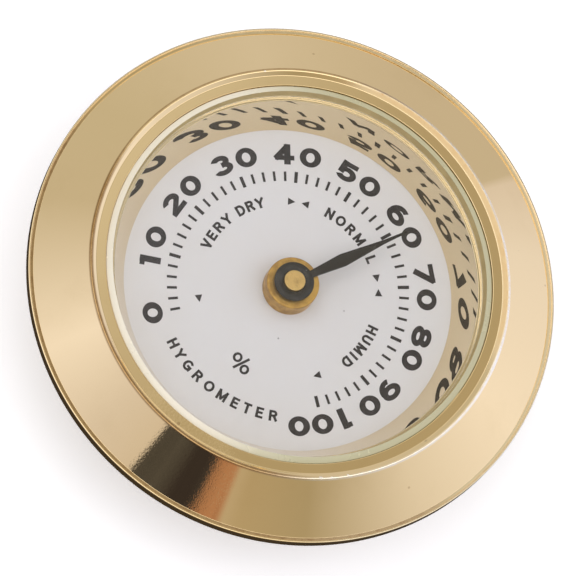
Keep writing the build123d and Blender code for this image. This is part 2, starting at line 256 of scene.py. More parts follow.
class Bench:
    """Places shader nodes in one tree and wires them together."""

    def __init__(self, tree: bpy.types.NodeTree) -> None:
        """Take a node tree and empty it."""
        self.tree = tree
        tree.nodes.clear()

    def place(
        self, kind: str, feeds: Mapping[int | str, Any] | None = None, **settings: Any
    ) -> bpy.types.Node:
        """Place one node.

        Args:
            kind: the node's type name.
            feeds: what goes into its inputs, a socket or a plain value for each.
            settings: its other settings.

        Returns:
            The node.
        """
        node = self.tree.nodes.new(kind)
        for key, value in settings.items():
            setattr(node, key, value)
        for key, value in (feeds or {}).items():
            if isinstance(value, Socket):
                self.tree.links.new(value, node.inputs[key])
            else:
                node.inputs[key].default_value = value
        return node

    def math(self, work: str, first: Any, second: Any = 0.0, third: Any = 0.0) -> Socket:
        """Work out one number from up to three."""
        return self.place("ShaderNodeMath", {0: first, 1: second, 2: third}, operation=work).outputs[0]

    def times(self, first: Any, second: Any) -> Socket:
        """Multiply two numbers."""
        return self.math("MULTIPLY", first, second)

    def less(self, first: Any, second: Any) -> Socket:
        """Take the second number from the first."""
        return self.math("SUBTRACT", first, second)

    def over(self, first: Any, second: Any) -> Socket:
        """Divide the first number by the second."""
        return self.math("DIVIDE", first, second)

    def linear(self, value: Any, slope: Any, start: Any) -> Socket:
        """Work out value x slope + start."""
        return self.math("MULTIPLY_ADD", value, slope, start)

    def vector(self, work: str, first: Any, second: Any = (0.0, 0.0, 0.0)) -> Socket:
        """Work out a vector from up to two, or the number that a length, distance or dot product is."""
        outputs = self.place("ShaderNodeVectorMath", {0: first, 1: second}, operation=work).outputs
        return outputs["Value" if work in ("LENGTH", "DISTANCE", "DOT_PRODUCT") else "Vector"]

    def parts(self, vector: Any) -> Sequence[Socket]:
        """Give the three parts of a vector or a colour."""
        return self.place("ShaderNodeSeparateXYZ", {0: vector}).outputs

    def joined(self, x: Any, y: Any, z: Any) -> Socket:
        """Put a vector together."""
        return self.place("ShaderNodeCombineXYZ", {0: x, 1: y, 2: z}).outputs[0]

    def spread(self, value: Any, low: Any, high: Any, to_low: float = 0.0, to_high: float = 1.0) -> Socket:
        """Carry a range of values smoothly over to another range, and hold it at both ends."""
        feeds = {0: value, 1: low, 2: high, 3: to_low, 4: to_high}
        return self.place("ShaderNodeMapRange", feeds, interpolation_type="SMOOTHSTEP").outputs[0]

    def tint(self, share: Any, first: Any, second: Any) -> Socket:
        """Mix two colours by a share from 0 to 1."""
        first = (*first, 1.0) if isinstance(first, tuple) else first
        second = (*second, 1.0) if isinstance(second, tuple) else second
        return self.place("ShaderNodeMix", {0: share, 6: first, 7: second}, data_type="RGBA").outputs[2]

    def wash(self, under: Any, over: Any, share: Any, strength: float) -> Socket:
        """Lay a colour over another by a share from 0 to 1, at a given strength."""
        return self.tint(self.times(share, strength), under, over)

    def noise(self, where: Any, scale: Any, detail: float = 2.0, roughness: float = 0.5) -> Socket:
        """Give a cloudy value between 0 and 1 that varies over the surface."""
        feeds = {"Vector": where, "Scale": scale, "Detail": detail, "Roughness": roughness}
        return self.place("ShaderNodeTexNoise", feeds).outputs[0]

    def effect(self, made: "Effect", place: Socket) -> Socket:
        """Place a shared effect with this material's own values and give its value."""
        feeds = {"place": place, **asdict(made)}
        return self.place("ShaderNodeGroup", feeds, node_tree=made.tree()).outputs[0]

    def bump(self, height: Any, strength: float, depth: float) -> Socket:
        """Turn a height into a normal. The depth is in millimetres."""
        feeds = {"Strength": strength, "Distance": depth * MM, "Height": height}
        return self.place("ShaderNodeBump", feeds).outputs[0]

    def principled(self, colour: Any, rough: Any, feeds: Mapping[str, Any]) -> Socket:
        """Place the surface shader and give its output."""
        feeds = {"Base Color": colour, "Roughness": rough, **feeds}
        return self.place("ShaderNodeBsdfPrincipled", feeds).outputs[0]

    def mixed(self, share: Any, first: Socket, second: Socket) -> Socket:
        """Mix two shaders by a share from 0 to 1."""
        return self.place("ShaderNodeMixShader", {0: share, 1: first, 2: second}).outputs[0]

    def ray(self, kind: str) -> Socket:
        """Give 1 for rays of one kind, such as Is Camera Ray."""
        return self.place("ShaderNodeLightPath").outputs[kind]


@dataclass(frozen=True)
class Effect:
    """A surface effect that several finishes share. Its fields are the inputs of its node group."""

    def tree(self) -> bpy.types.NodeTree:
        """Give the group, built at the first call."""
        title = type(self).__name__
        known = bpy.data.node_groups.get(title)
        if known:
            return known
        tree = bpy.data.node_groups.new(title, "ShaderNodeTree")
        tree.interface.new_socket(name="place", in_out="INPUT", socket_type="NodeSocketVector")
        for name, value in asdict(self).items():
            kind = "NodeSocketVector" if isinstance(value, tuple) else "NodeSocketFloat"
            tree.interface.new_socket(name=name, in_out="INPUT", socket_type=kind)
        tree.interface.new_socket(name="value", in_out="OUTPUT", socket_type="NodeSocketFloat")
        bench = Bench(tree)
        entry = bench.place("NodeGroupInput")
        bench.place("NodeGroupOutput", {0: self.wire(bench, entry.outputs)})
        return tree

    def wire(self, bench: Bench, entry: Mapping[str, Socket]) -> Socket:
        """Wire the effect inside its group and give its result."""
        raise NotImplementedError


@dataclass(frozen=True)
class TurnedLines(Effect):
    """Fine rings left by the lathe, a pitch apart: cloudy noise squeezed along the radius and the height."""

    pitch: float = 0.05
    waver: float = 0.6

    def wire(self, bench: Bench, entry: Mapping[str, Socket]) -> Socket:
        """Sample noise at (radius / pitch, angle x waver, height / pitch)."""
        x, y, z = bench.parts(entry["place"])
        squares = bench.linear(x, x, bench.times(y, y))
        radius = bench.over(bench.times(bench.math("SQRT", squares), PER_MM), entry["pitch"])
        angle = bench.times(bench.math("ARCTAN2", y, x), entry["waver"])
        height = bench.over(bench.times(z, PER_MM), entry["pitch"])
        return bench.noise(bench.joined(radius, angle, height), 1.0, 3.0, 0.6)


@dataclass(frozen=True)
class Brushing(Effect):
    """Straight rolling or brushing marks along one direction."""

    pitch: float = 0.08
    stretch: float = 40.0

    def wire(self, bench: Bench, entry: Mapping[str, Socket]) -> Socket:
        """Sample noise at (x / (pitch x stretch), y / pitch, z / pitch)."""
        x, y, z = bench.parts(entry["place"])
        scale = bench.over(PER_MM, entry["pitch"])
        along = bench.over(bench.times(x, scale), entry["stretch"])
        return bench.noise(bench.joined(along, bench.times(y, scale), bench.times(z, scale)), 1.0, 3.0, 0.55)


@dataclass(frozen=True)
class Patches(Effect):
    """Soft uneven patches, for tarnish, stain, haze and fading."""

    size: float = 3.0
    cover: float = 0.5
    softness: float = 0.2

    def wire(self, bench: Bench, entry: Mapping[str, Socket]) -> Socket:
        """Cut cloudy noise of the given size at 1 - cover, over a soft band."""
        cloud = bench.noise(entry["place"], bench.over(PER_MM, entry["size"]), 5.0, 0.6)
        edge = bench.less(1.0, entry["cover"])
        low = bench.less(edge, entry["softness"])
        return bench.spread(cloud, low, bench.math("ADD", edge, entry["softness"]))


@dataclass(frozen=True)
class Specks(Effect):
    """Scattered small specks, for dust, pits and flecks."""

    spacing: float = 0.8
    share: float = 0.2

    def wire(self, bench: Bench, entry: Mapping[str, Socket]) -> Socket:
        """Keep cells whose random number is under the share, and fill each near its centre."""
        scale = bench.over(PER_MM, entry["spacing"])
        cells = bench.place("ShaderNodeTexVoronoi", {"Vector": entry["place"], "Scale": scale}).outputs
        chance = bench.parts(cells["Color"])
        kept = bench.math("LESS_THAN", chance[0], entry["share"])
        inside = bench.less(bench.linear(chance[1], 0.16, 0.05), cells["Distance"])
        soft = {0: inside, 1: 0.0, 2: 0.04, 3: 0.0, 4: 1.0}
        return bench.times(kept, bench.place("ShaderNodeMapRange", soft).outputs[0])


@dataclass(frozen=True)
class RingWear(Effect):
    """A mask for painted highlight or painted shade along one turned edge, on the side of the ring that a
    direction names.
    """

    radius: float = 17.8
    width: float = 0.1
    toward: tuple[float, float, float] = (1.0, 0.0, 0.0)
    reach: float = -2.0
    broken: float = 1.0

    def wire(self, bench: Bench, entry: Mapping[str, Socket]) -> Socket:
        """Keep points near the radius and on the side given, broken up by noise, with soft ends."""
        flat = bench.vector("MULTIPLY", entry["place"], (1.0, 1.0, 0.0))
        radius = bench.vector("LENGTH", flat)
        off = bench.math("ABSOLUTE", bench.linear(radius, PER_MM, bench.times(entry["radius"], -1.0)))
        near = bench.less(1.0, bench.over(off, entry["width"]))
        along = bench.vector("DOT_PRODUCT", bench.vector("NORMALIZE", flat), entry["toward"])
        side = bench.spread(bench.less(along, entry["reach"]), -0.15, 0.15)
        rough = bench.spread(bench.noise(entry["place"], 1300.0, 5.0, 0.75), 0.44, 0.62)
        kept = bench.less(1.0, bench.times(entry["broken"], bench.less(1.0, rough)))
        return bench.times(bench.times(bench.spread(near, 0.0, 0.6), side), kept)


@dataclass(frozen=True)
class Nick(Effect):
    """One small ragged mark at a given place."""

    centre: tuple[float, float, float] = (0.0, 0.0, 0.0)
    radius: float = 0.1

    def wire(self, bench: Bench, entry: Mapping[str, Socket]) -> Socket:
        """Fade from the centre out to the radius, with the distance disturbed by noise."""
        gap = bench.vector("DISTANCE", entry["place"], entry["centre"])
        far = bench.over(bench.times(gap, PER_MM), entry["radius"])
        ragged = bench.linear(bench.noise(entry["place"], 9000.0), 0.9, far)
        return bench.spread(ragged, 1.55, 1.2)


@dataclass(frozen=True)
class Wear:
    """One ring of painted highlight or painted shade along a turned edge: radius, width, middle direction,
    half reach, how broken, and its look.
    """

    radius: float
    width: float
    turn: float
    reach: float
    broken: float
    colour: Colour
    strength: float
    rough: float

    def cover(self, bench: Bench, place: Socket) -> Socket:
        """Give how much the painted ring of light or shade covers a place."""
        toward = (cos(radians(self.turn)), sin(radians(self.turn)), 0.0)
        reach = cos(radians(self.reach)) if self.reach < 180 else -2.0
        ring = RingWear(self.radius, self.width, toward, reach, self.broken)
        return bench.times(bench.effect(ring, place), self.strength)


# ------------------------------------------------------------------------------------- finishes


@dataclass(frozen=True)
class Finish:
    """A finish: builds its material once and puts it on pieces and nodes."""

    title: str

    def material(self) -> bpy.types.Material:
        """Give the material, built at the first call."""
        name = f"{self.title}_finish"
        known = bpy.data.materials.get(name)
        if known:
            return known
        material = bpy.data.materials.new(name)
        material.use_nodes = True
        bench = Bench(material.node_tree)
        place = bench.place("ShaderNodeTexCoord").outputs["Object"]
        bench.place("ShaderNodeOutputMaterial", {0: self.surface(bench, place)})
        return material

    def surface(self, bench: Bench, place: Socket) -> Socket:
        """Wire the surface for Object coordinates and give its shader."""
        raise NotImplementedError

    def dress(self, *objects: bpy.types.Object) -> None:
        """Put the finish on every material slot of the given objects."""
        material = self.material()
        for item in objects:
            if not item.material_slots:
                item.data.materials.append(material)
            for spot in item.material_slots:
                spot.material = material

    def dress_nodes(self, *names: str) -> None:
        """Put the finish on nodes carried over from the frame."""
        self.dress(*(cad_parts[name] for name in names))


@dataclass(frozen=True)
class Mark:
    """A small mark on a finish: direction on the dial, distance from the axis, height and size."""

    direction: float
    distance: float
    height: float
    radius: float

    def centre(self) -> tuple[float, float, float]:
        """Give the mark's place in metres."""
        turn = radians(self.direction)
        return self.distance * cos(turn) * MM, self.distance * sin(turn) * MM, self.height * MM


def all_marks(bench: Bench, place: Socket, marks: Sequence[Mark]) -> Socket:
    """Gather several marks into one mask.

    Args:
        bench: the bench to wire on.
        place: Object coordinates.
        marks: the marks.

    Returns:
        A mask that is 1 on every mark.
    """
    total = None
    for mark in marks:
        one = bench.effect(Nick(mark.centre(), mark.radius), place)
        total = one if total is None else bench.math("MAXIMUM", total, one)
    return total


@dataclass(frozen=True)
class Gilt(Finish):
    """Gilt metal turned on a lathe, then polished or left satin."""

    title: str = "gilt_polished"
    bright: Colour = (0.93, 0.72, 0.40)
    dull: Colour = (0.80, 0.60, 0.31)
    roughness: float = 0.022
    line_pitch: float = 0.05
    line_depth: float = 0.00008
    tarnish: float = 0.32
    chips: tuple[Mark, ...] = ()
    wears: tuple[Wear, ...] = ()
    uneven: tuple[Mark, ...] = ()
    unevenness: float = 34.0
    pit: Colour = (0.45, 0.30, 0.14)
    chip: Colour = (0.95, 0.86, 0.70)

    def surface(self, bench: Bench, place: Socket) -> Socket:
        """Polished metal with lathe rings, a breath of tarnish, fine pits, a few chips, and rings of painted
        highlight and painted shade.
        """
        rings = bench.effect(TurnedLines(pitch=self.line_pitch, waver=0.7), place)
        haze = bench.effect(Patches(size=7.0, cover=self.tarnish, softness=0.22), place)
        pits = bench.effect(Specks(spacing=0.9, share=0.02), place)
        colour = bench.wash(self.bright, self.dull, haze, 0.45)
        colour = bench.wash(colour, self.pit, pits, 0.4)
        rough = bench.linear(rings, self.roughness * 0.6, self.roughness * 0.7)
        rough = bench.linear(haze, self.roughness * 0.8, rough)
        height = bench.less(rings, pits)
        if self.chips:
            chipped = all_marks(bench, place, self.chips)
            colour = bench.tint(chipped, colour, self.chip)
            rough = bench.linear(chipped, 0.35, rough)
            height = bench.less(height, bench.times(chipped, 3.0))
        # painted highlights and painted shade along turned edges, each with its own colour, strength and
        # roughness
        for painted in self.wears:
            cover = painted.cover(bench, place)
            colour = bench.tint(cover, colour, painted.colour)
            rough = bench.linear(cover, painted.rough, rough)
        if self.uneven:
            waves = bench.noise(place, 4200.0, 3.0, 0.6)
            amount = bench.times(all_marks(bench, place, self.uneven), self.unevenness)
            height = bench.linear(waves, amount, height)
        normal = bench.bump(height, 1.0, self.line_depth)
        return bench.principled(colour, rough, {"Metallic": 1.0, "Normal": normal})


@dataclass(frozen=True)
class Brass(Finish):
    """Bare brass, turned or rolled, browned where hands and lacquer left it."""

    title: str = "turned_brass"
    bright: Colour = (0.62, 0.36, 0.075)
    brown: Colour = (0.24, 0.11, 0.02)
    roughness: float = 0.24
    stain: float = 0.5
    rolled: bool = False
    rubbed: Colour = (0.85, 0.60, 0.24)
    dust: Colour = (0.75, 0.68, 0.55)

    def surface(self, bench: Bench, place: Socket) -> Socket:
        """Brass with tool marks, brown stains and specks of dust."""
        marks = bench.effect(Brushing(pitch=0.09) if self.rolled else TurnedLines(pitch=0.06), place)
        stains = bench.effect(Patches(size=1.1, cover=self.stain, softness=0.16), place)
        dust = bench.effect(Specks(spacing=0.45, share=0.08), place)
        colour = bench.wash(self.bright, self.brown, stains, 0.75)
        colour = bench.wash(colour, self.rubbed, marks, 0.25)
        colour = bench.wash(colour, self.dust, dust, 0.5)
        rough = bench.linear(marks, 0.16, self.roughness)
        rough = bench.linear(stains, 0.12, rough)
        normal = bench.bump(marks, 0.8, 0.004)
        return bench.principled(colour, rough, {"Metallic": 1.0, "Normal": normal})


@dataclass(frozen=True)
class Steel(Finish):
    """Bright steel for screws, or blued spring steel for the snap ring."""

    title: str = "screw_steel"
    bright: Colour = (0.56, 0.56, 0.58)
    shade: Colour = (0.32, 0.32, 0.35)
    roughness: float = 0.28

    def surface(self, bench: Bench, place: Socket) -> Socket:
        """Steel with fine brushing and uneven oxide."""
        marks = bench.effect(Brushing(pitch=0.06, stretch=30.0), place)
        oxide = bench.effect(Patches(size=1.6, cover=0.45, softness=0.2), place)
        colour = bench.tint(oxide, self.bright, self.shade)
        rough = bench.linear(marks, 0.2, self.roughness)
        normal = bench.bump(marks, 0.6, 0.003)
        return bench.principled(colour, rough, {"Metallic": 1.0, "Normal": normal})


@dataclass(frozen=True)
class Plastic(Finish):
    """Moulded nylon or a swelling film: dull, slightly cloudy."""

    title: str = "clear_nylon"
    light: Colour = (0.82, 0.84, 0.80)
    deep: Colour = (0.70, 0.74, 0.69)
    roughness: float = 0.35
    # glow: a painted glow, emission in the plastic's own colour
    glow: float = 0.0

    def surface(self, bench: Bench, place: Socket) -> Socket:
        """Cloudy plastic with a fine moulded grain, and a painted glow where glow is set."""
        cloud = bench.effect(Patches(size=2.0, cover=0.5, softness=0.3), place)
        grain = bench.noise(place, 9000.0, 2.0)
        colour = bench.tint(cloud, self.light, self.deep)
        rough = bench.linear(grain, 0.2, self.roughness)
        normal = bench.bump(grain, 0.5, 0.004)
        # painted glow: emission in the plastic's own colour
        glow = {"Emission Color": colour, "Emission Strength": self.glow} if self.glow else {}
        return bench.principled(colour, rough, {"Normal": normal, **glow})


@dataclass(frozen=True)
class Glass(Finish):
    """Window glass: clear and polished, or ground at its bevel."""

    title: str = "window_glass"
    colour: Colour = (0.985, 0.995, 0.99)
    roughness: float = 0.0
    smear: float = 0.003
    shine: float = 0.3
    clearness: float = 1.0
    # painted shade: a darker colour laid over the far, right-hand side of the glass, with where it starts and
    # where it is full
    far_colour: Colour | None = None
    far_lean: float = 0.45
    far_start: float = -9.0
    far_full: float = 3.0

    def surface(self, bench: Bench, place: Socket) -> Socket:
        """Glass that lets light fall straight through on to the dial, with painted shade laid on its far side
        when far_colour is set.
        """
        smears = bench.effect(Patches(size=6.0, cover=0.4, softness=0.2), place)
        rough = bench.linear(smears, self.smear, self.roughness)
        colour: Any = (*self.colour, 1.0)
        # painted shade towards the far, right-hand side
        if self.far_colour is not None:
            x, y, _ = bench.parts(place)
            side = bench.spread(bench.linear(y, self.far_lean, x), self.far_start * MM, self.far_full * MM)
            share = bench.linear(smears, 0.15, side)
            colour = bench.tint(share, self.colour, self.far_colour)
        feeds = {"IOR": 1.5, "Transmission Weight": self.clearness, "Specular IOR Level": self.shine}
        solid = bench.principled(colour, rough, feeds)
        through = bench.place("ShaderNodeBsdfTransparent", {0: (0.99, 0.99, 0.99, 1.0)}).outputs[0]
        return bench.mixed(bench.ray("Is Shadow Ray"), solid, through)


@dataclass(frozen=True)
class DialPaint(Finish):
    """White dial enamel, slightly warm in patches, with two flecks in it."""

    title: str = "dial_white"
    white: Colour = (0.80, 0.785, 0.79)
    aged: Colour = (0.785, 0.76, 0.75)
    fleck: Colour = (0.16, 0.14, 0.15)
    flecks: tuple[tuple[float, float, float], ...] = ((289.7, 4.46, 0.085), (12.7, 5.02, 0.07))

    def surface(self, bench: Bench, place: Socket) -> Socket:
        """Sprayed white paint with a fine orange-peel grain."""
        aged = bench.effect(Patches(size=9.0, cover=0.5, softness=0.3), place)
        peel = bench.noise(place, 5200.0, 3.0, 0.55)
        colour = bench.tint(aged, self.white, self.aged)
        face = reach_of("dial_plate")[2]
        flecks = all_marks(bench, place, [Mark(turn, away, face, size) for turn, away, size in self.flecks])
        colour = bench.wash(colour, self.fleck, flecks, 0.7)
        rough = bench.linear(peel, 0.15, 0.42)
        normal = bench.bump(peel, 0.5, 0.004)
        return bench.principled(colour, rough, {"Normal": normal})


@dataclass(frozen=True)
class Ink(Finish):
    """Screen-printed black ink, thin enough to be uneven."""

    title: str = "dial_ink"
    full: Colour = (0.016, 0.013, 0.015)
    thin: Colour = (0.040, 0.034, 0.037)

    def surface(self, bench: Bench, place: Socket) -> Socket:
        """Ink with weaker patches and the weave of the screen."""
        weak = bench.effect(Patches(size=0.5, cover=0.5, softness=0.25), place)
        weave = bench.noise(place, 14000.0, 2.0)
        colour = bench.tint(weak, self.full, self.thin)
        rough = bench.linear(weave, 0.2, 0.4)
        normal = bench.bump(weave, 0.4, 0.002)
        return bench.principled(colour, rough, {"Normal": normal, "Specular IOR Level": 0.15})


@dataclass(frozen=True)
class PointerPaint(Finish):
    """Black lacquer on the pointer, with dust and rubbed places."""

    title: str = "pointer_black"
    black: Colour = (0.013, 0.011, 0.010)
    rubbed: Colour = (0.045, 0.040, 0.037)
    dust: Colour = (0.45, 0.43, 0.40)

    def surface(self, bench: Bench, place: Socket) -> Socket:
        """Half-gloss black with rubbed patches and dust."""
        worn = bench.effect(Patches(size=0.9, cover=0.36, softness=0.15), place)
        dust = bench.effect(Specks(spacing=0.35, share=0.10), place)
        colour = bench.tint(worn, self.black, self.rubbed)
        colour = bench.wash(colour, self.dust, dust, 0.35)
        rough = bench.linear(worn, 0.15, 0.16)
        normal = bench.bump(bench.noise(place, 7000.0, 3.0), 0.5, 0.006)
        return bench.principled(colour, rough, {"Normal": normal, "Specular IOR Level": 0.22})


# ---------------------------------------------------------------------------------------- bezel


@dataclass
class Bezel:
    """The turned gilt ring: rim, thin lip, cone, rounded crown, ledge round the glass, and spigot."""

    flange_z: float = 9.8
    rim_height: float = 1.0
    lip_width: float = 0.18
    groove_width: float = 0.26
    groove: float = 0.12
    groove_wall: float = 0.03
    groove_round: float = 0.9
    crown_width: float = 0.42
    crown_height: float = 0.3
    ledge_width: float = 0.85
    seat_gap: float = 0.05
    shoulder_reach: float = 0.9
    shoulder_thick: float = 0.35
    spigot_wall: float = 1.2
    snap_bite: float = 0.55
    gasket: float = 0.15
    proud: float = 0.1
    around: int = 480
    finish: Finish = Gilt(
        # painted light, not wear: highlights and shade painted along the crown, lip and web edges
        wears=(
            # painted highlights: white on the crown at 52 and 336 degrees and on the lip at 45 degrees, and a
            # gold painted sheen over the crown's reflection of the dark card at 57 degrees
            Wear(17.82, 0.20, 52.0, 50.0, 0.55, (1.0, 0.96, 0.88), 0.9, 0.35),
            Wear(17.54, 0.30, 57.0, 48.0, 0.1, (0.93, 0.76, 0.46), 0.95, 0.85),
            Wear(22.28, 0.30, 45.0, 100.0, 0.2, (1.0, 0.88, 0.64), 0.6, 0.25),
            Wear(17.84, 0.18, 336.0, 44.0, 0.3, (1.0, 0.96, 0.86), 0.75, 0.2),
            # painted shade: dark lines at the crown's foot at 150 and 240 degrees and along the rim at 255
            # degrees
            Wear(17.86, 0.12, 150.0, 62.0, 0.2, (0.42, 0.25, 0.09), 0.75, 0.2),
            Wear(17.76, 0.26, 240.0, 60.0, 0.1, (0.30, 0.16, 0.05), 0.85, 0.2),
            Wear(22.19, 0.17, 255.0, 80.0, 0.3, (0.34, 0.18, 0.07), 0.75, 0.2),
            # a pale painted highlight all round the inner edge of the web
            Wear(15.80, 0.30, 0.0, 360.0, 0.1, (0.66, 0.62, 0.52), 0.9, 0.2),
        ),
        uneven=(Mark(266.0, 20.0, 12.0, 5.5),),
        chips=(
            Mark(306.0, 17.72, 13.62, 0.16),
            Mark(309.0, 17.78, 13.60, 0.10),
            Mark(313.5, 17.70, 13.62, 0.12),
            Mark(97.5, 17.72, 13.62, 0.13),
            Mark(131.0, 17.75, 13.61, 0.10),
    )
    )

    def outline(self) -> np.ndarray:
        """Lay out the ring's section, anticlockwise from the rim's lower edge."""
        outer, foot_z, _ = reach_of("bezel")
        glass_r, glass_z, glass_top = reach_of("glass")
        drum_r, _, drum_top = reach_of("case_cup")
        dial_r, dial_back, _ = reach_of("dial_plate")
        _, snap_z, _ = reach_of("snap_ring")
        lip_z = self.flange_z + self.rim_height
        bore = glass_r + self.seat_gap
        ledge = bore + self.ledge_width
        ledge_z = glass_top - self.proud
        shoulder_z = glass_z - self.gasket
        well = dial_r + self.seat_gap
        spigot = well + self.spigot_wall
        corners = [
            (outer, self.flange_z, 0.05),
            (outer, lip_z, 0.09),
            (outer - self.lip_width, lip_z, 0.06),
            (outer - self.lip_width - self.groove_wall, lip_z - self.groove_round * self.groove, 0.02),
            (outer - self.lip_width - self.groove_width, lip_z - self.groove, 0.05),
            (ledge + self.crown_width, ledge_z + self.crown_height, 0.2),
            (ledge, ledge_z, 0.12),
            (bore, ledge_z, 0.05),
            (bore, shoulder_z, 0.0),
            (well - self.shoulder_reach, shoulder_z, 0.05),
            (well - self.shoulder_reach, shoulder_z - self.shoulder_thick, 0.05),
            (well, shoulder_z - self.shoulder_thick, 0.0),
            (well, dial_back, 0.0),
            (well + self.snap_bite, dial_back, 0.0),
            (well + self.snap_bite, snap_z, 0.0),
            (well, snap_z, 0.0),
            (well, foot_z, 0.0),
            (spigot, foot_z, 0.0),
            (spigot, drum_top, 0.0),
            (drum_r, drum_top, 0.0),
            (drum_r, self.flange_z, 0.0),
        ]
        return rounded(corners, steps=9)

    def build(self) -> list[bpy.types.Object]:
        """Turn the ring and dress it."""
        ring = piece("bezel_ring", [turned(self.outline(), self.around)], Body.CASE, "bezel")
        self.finish.dress(ring)
        return [ring]


@dataclass
class Window:
    """The flat glass with its ground bevel, and the gasket that it is bedded on."""

    bevel_width: float = 0.5
    bevel_height: float = 0.22
    bevel_margin: float = 0.005
    foot_margin: float = 0.05
    around: int = 360
    clear: Finish = Glass()
    # the ground bevel carries painted shade on its far side
    ground: Finish = Glass(
        "ground_glass", (0.97, 0.91, 0.73), roughness=0.24, smear=0.12, shine=0.5, clearness=0.12,
        far_colour=(0.60, 0.575, 0.36),
    )
    # the gasket has a painted glow
    gasket: Finish = Plastic("gasket_nylon", (0.82, 0.70, 0.42), (0.70, 0.58, 0.32), glow=0.10)

    def build(self) -> list[bpy.types.Object]:
        """Turn the glass, give its bevel and edge the ground finish, and dress the gasket."""
        radius, low, high = reach_of("glass")
        corners = [
            (0.0, low, 0.0),
            (radius, low, 0.04),
            (radius, high - self.bevel_height, 0.04),
            (radius - self.bevel_width, high, 0.05),
            (0.0, high, 0.0),
        ]
        shell = turned(rounded(corners, steps=5), self.around)
        pane = piece("window_pane", [shell], Body.CASE, "glass")
        for finish in (self.clear, self.ground):
            pane.data.materials.append(finish.material())
        centres = np.empty(3 * len(pane.data.polygons))
        pane.data.polygons.foreach_get("center", centres)
        centres = centres.reshape(-1, 3) / MM
        beyond = np.linalg.norm(centres[:, :2], axis=1) > radius - self.bevel_width + self.bevel_margin
        above = centres[:, 2] > low + self.foot_margin
        pane.data.polygons.foreach_set("material_index", (beyond & above).astype(np.int32))
        pane.data.update()
        self.gasket.dress_nodes("glass_gasket")
        return [pane]


@dataclass
class Reflector:
    """The flared mirror ring between the dial and the glass."""

    sheet: float = 0.35
    flare: float = 23.8
    step: float = 0.25
    foot: float = 1.1
    around: int = 480
    finish: Finish = Gilt(
        "gilt_mirror", (0.84, 0.69, 0.45), (0.78, 0.62, 0.39), roughness=0.006, line_depth=0.000008,
        tarnish=0.3,
    )

    def build(self) -> list[bpy.types.Object]:
        """Turn the pressed ring and polish it."""
        rim_r, low, high = reach_of("reflector_ring")
        slope = tan(radians(self.flare))
        lean = self.sheet / cos(radians(self.flare))
        top = rim_r + Bezel.seat_gap - Bezel.shoulder_reach - self.step
        base = top - (high - low) * slope
        back = base + lean
        corners = [
            (base, low, 0.03),
            (back + self.foot, low, 0.0),
            (back + self.foot, low + self.sheet, 0.0),
            (back + self.sheet * slope, low + self.sheet, 0.1),
            (top + lean - self.sheet * slope, high - self.sheet, 0.1),
            (rim_r, high - self.sheet, 0.0),
            (rim_r, high, 0.0),
            (top, high, 0.06),
        ]
        shell = turned(rounded(corners), self.around)
        ring = piece("reflector_mirror", [shell], Body.CASE, "reflector_ring")
        self.finish.dress(ring)
        return [ring]


# ------------------------------------------------------------------------------- dial and printing


@dataclass(frozen=True)
class Bar:
    """A straight stroke between two points of a glyph's unit box."""

    x0: float
    y0: float
    x1: float
    y1: float


@dataclass(frozen=True)
class Bow:
    """A stroke along an ellipse: centre, half widths, and the angles it runs between."""

    x: float
    y: float
    half_width: float
    half_height: float
    start: float = 0.0
    end: float = 360.0


@dataclass(frozen=True)
class Glyph:
    """One character: its width in its unit box, and its strokes' middle lines."""

    width: float
    strokes: tuple[Bar | Bow, ...]


@dataclass(frozen=True)
class Nib:
    """Stroke widths: of upright strokes, and of level ones."""

    upright: float
    level: float

    def across(self, dx: float, dy: float) -> float:
        """Give the width of a stroke that runs along (dx, dy)."""
        length = float(np.hypot(dx, dy))
        return float(np.hypot(self.upright * dy, self.level * dx) / length)


def stem(x: float) -> Bar:
    """Draw an upright stroke of full height."""
    return Bar(x, 0.0, x, 1.0)


def level(y: float, end: float, start: float = 0.0) -> Bar:
    """Draw a level stroke."""
    return Bar(start, y, end, y)


FIGURES: dict[str, Glyph] = {
    "0": Glyph(1.0, (Bow(0.5, 0.5, 0.5, 0.5),)),
    "1": Glyph(0.30, (stem(0.30), level(1.0, 0.30))),
    "2": Glyph(1.0, (Bow(0.5, 0.70, 0.46, 0.30, 165.0, -25.0), Bar(0.90, 0.58, 0.06, 0.06), level(0.0, 1.0))),
    "3": Glyph(1.0, (Bow(0.46, 0.75, 0.42, 0.25, 160.0, -90.0), Bow(0.46, 0.26, 0.5, 0.26, 90.0, -160.0))),
    "4": Glyph(1.0, (Bar(0.62, 0.98, 0.0, 0.30), level(0.26, 1.0), stem(0.68))),
    "5": Glyph(
        1.0, (level(1.0, 0.92, 0.18), Bar(0.16, 1.0, 0.10, 0.50), Bow(0.48, 0.32, 0.48, 0.32, 142.0, -155.0))
    ),
    "6": Glyph(1.0, (Bow(0.5, 0.32, 0.5, 0.32), Bow(0.56, 0.45, 0.56, 0.58, 180.0, 66.0))),
    "7": Glyph(1.0, (level(1.0, 1.0), Bar(0.96, 0.94, 0.30, 0.0))),
    "8": Glyph(1.0, (Bow(0.5, 0.76, 0.42, 0.24), Bow(0.5, 0.27, 0.5, 0.27))),
    "9": Glyph(1.0, (Bow(0.5, 0.68, 0.5, 0.32), Bow(0.44, 0.55, 0.56, 0.58, 0.0, -114.0))),
}

